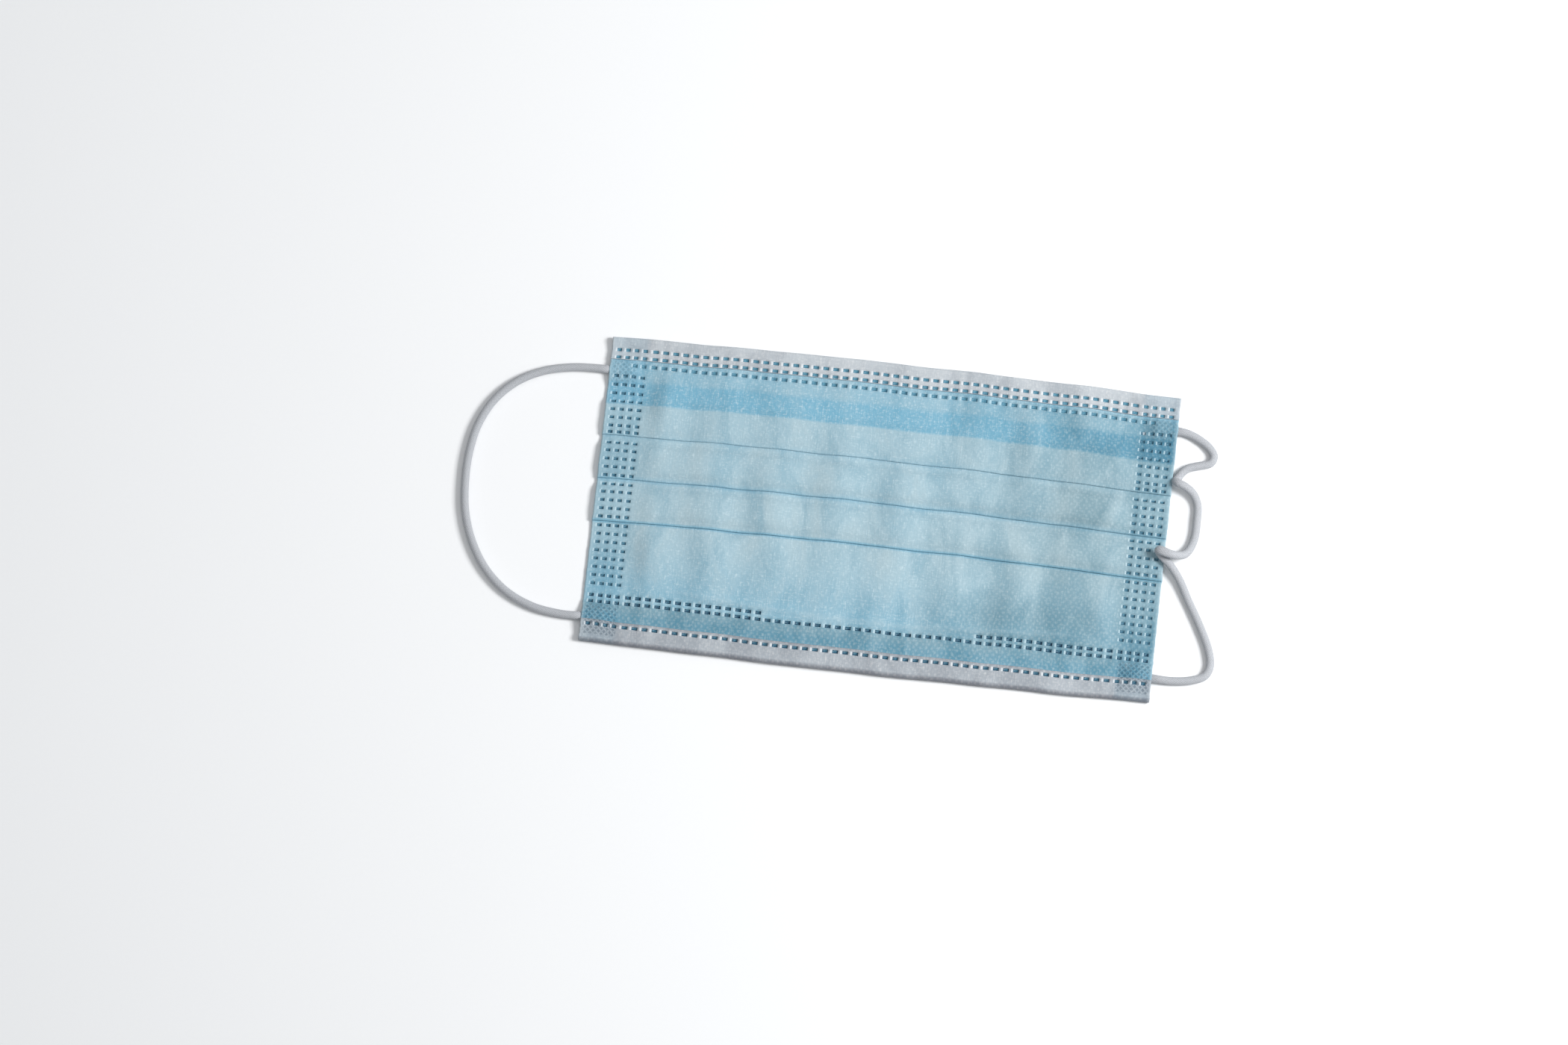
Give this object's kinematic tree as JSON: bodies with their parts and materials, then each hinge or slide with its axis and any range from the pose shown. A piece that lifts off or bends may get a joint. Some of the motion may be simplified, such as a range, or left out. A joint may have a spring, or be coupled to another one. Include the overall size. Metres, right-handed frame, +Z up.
{
  "type": "surgical face mask",
  "caption": "Flat pleated face mask of non-woven cloth with folded white hems, welded side seams and a round elastic ear loop at each side.",
  "frame": {"origin": "on the surface that the mask lies on, under the middle of the mask without its ear loops", "axes": "+X along the mask's width, +Y towards the nose edge, +Z up out of the outer side"},
  "size_m": [0.2352, 0.0972, 0.0083],
  "materials": {
    "outer_cloth": "matt blue spunbond non-woven with a fine bonded dot pattern",
    "white_cloth": "matt white spunbond non-woven",
    "elastic": "matt white knitted elastic cord"
  },
  "bodies": {
    "root": {"pleated_panel": "outer_cloth", "nose_hem": "white_cloth", "chin_hem": "white_cloth", "ear_loop_left": "elastic", "ear_loop_right": "elastic"}
  },
  "joints": []
}
